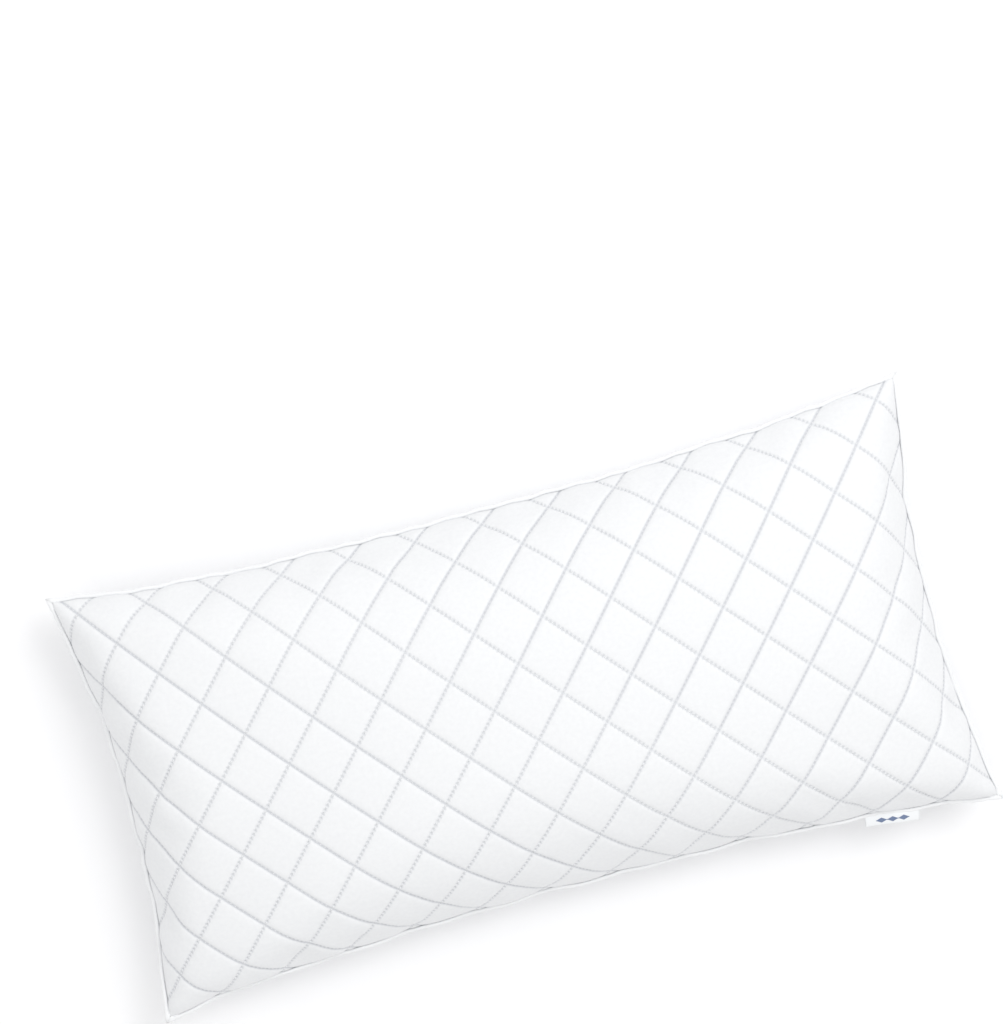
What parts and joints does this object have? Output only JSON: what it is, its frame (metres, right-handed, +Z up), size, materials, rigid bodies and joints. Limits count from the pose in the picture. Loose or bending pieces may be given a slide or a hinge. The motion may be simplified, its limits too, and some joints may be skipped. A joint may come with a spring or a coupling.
{
  "type": "bed pillow",
  "caption": "Oblong bed pillow in a white diamond-quilted microfibre cover with a turned seam, pointed corners and a folded satin label, filled with loose fibre to support a sleeper's head.",
  "frame": {"origin": "middle of the flat patch that the pillow lies on, at the height of the bed", "axes": "+X along the long side, with the label at the +X end of the -Y side, +Y towards the far long side, +Z up out of the bed"},
  "size_m": [0.772, 0.392, 0.1485],
  "materials": {
    "microfibre_shell": "closely woven white microfibre, smooth and matt with a faint sheen",
    "quilt_wadding": "soft white polyester wadding",
    "panel_lining": "thin white non-woven lining",
    "fibre_filling": "loose white hollow polyester fibre",
    "sewing_thread": "white polyester sewing thread",
    "label_satin": "white satin ribbon, softly glossy",
    "label_weave": "blue-grey yarn woven into the ribbon"
  },
  "bodies": {
    "root": {"top_shell": "microfibre_shell", "top_wadding": "quilt_wadding", "top_lining": "panel_lining", "top_quilt_thread": "sewing_thread", "bottom_shell": "microfibre_shell", "bottom_wadding": "quilt_wadding", "bottom_lining": "panel_lining", "bottom_quilt_thread": "sewing_thread", "fibre_fill": "fibre_filling", "seam_thread": "sewing_thread", "seam_lip_front": "microfibre_shell", "seam_lip_back": "microfibre_shell", "seam_lip_left": "microfibre_shell", "seam_lip_right": "microfibre_shell", "label_ribbon": "label_satin", "label_motif": "label_weave"}
  },
  "joints": []
}
